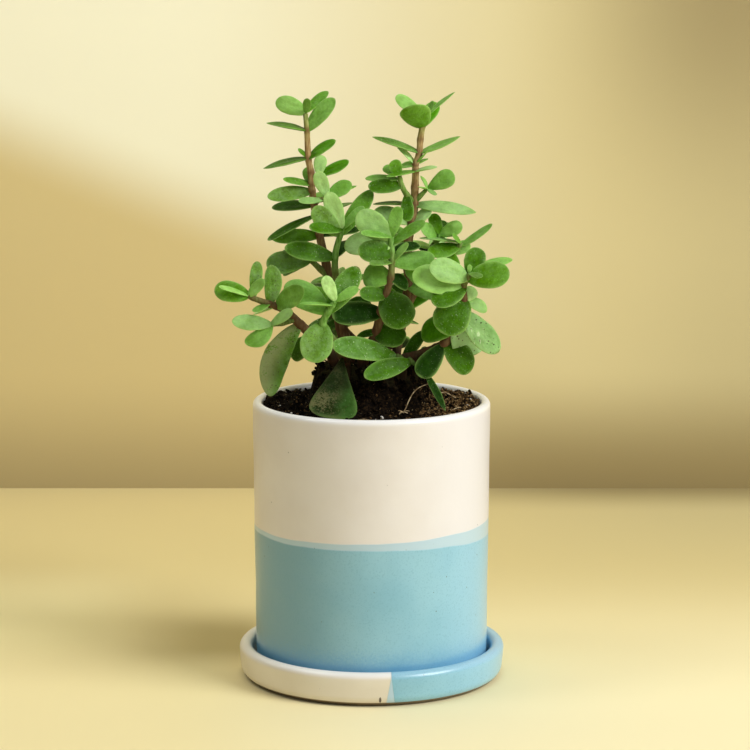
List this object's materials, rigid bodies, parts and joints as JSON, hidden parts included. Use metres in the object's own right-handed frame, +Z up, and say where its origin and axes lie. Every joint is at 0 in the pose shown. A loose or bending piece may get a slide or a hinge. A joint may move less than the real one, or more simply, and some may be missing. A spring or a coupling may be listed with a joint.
{
  "type": "potted jade plant",
  "caption": "Young jade plant with leafy upright and arching stems in a straight-sided dip-glazed pot of soil, standing in a matching round saucer.",
  "frame": {"origin": "centre of the saucer's flat underside, where it stands on the table", "axes": "+Z up; -Y towards the side that the plant is usually looked at from; +X to that viewer's right"},
  "size_m": [0.1233, 0.1126, 0.247],
  "materials": {
    "saucer_glaze": "gloss",
    "pot_glaze": "gloss",
    "potting_soil": "matte",
    "jade_plant": "satin"
  },
  "bodies": {
    "root": {"saucer": "saucer_glaze", "pot": "pot_glaze", "soil": "potting_soil", "left_tall_stem": "jade_plant", "left_inner_stem": "jade_plant", "left_low_stem": "jade_plant", "front_stem": "jade_plant", "centre_stem": "jade_plant", "right_tall_stem": "jade_plant", "right_low_stem": "jade_plant", "right_upper_stem": "jade_plant", "back_left_stem": "jade_plant", "back_low_stem": "jade_plant", "back_right_stem": "jade_plant"}
  },
  "joints": []
}
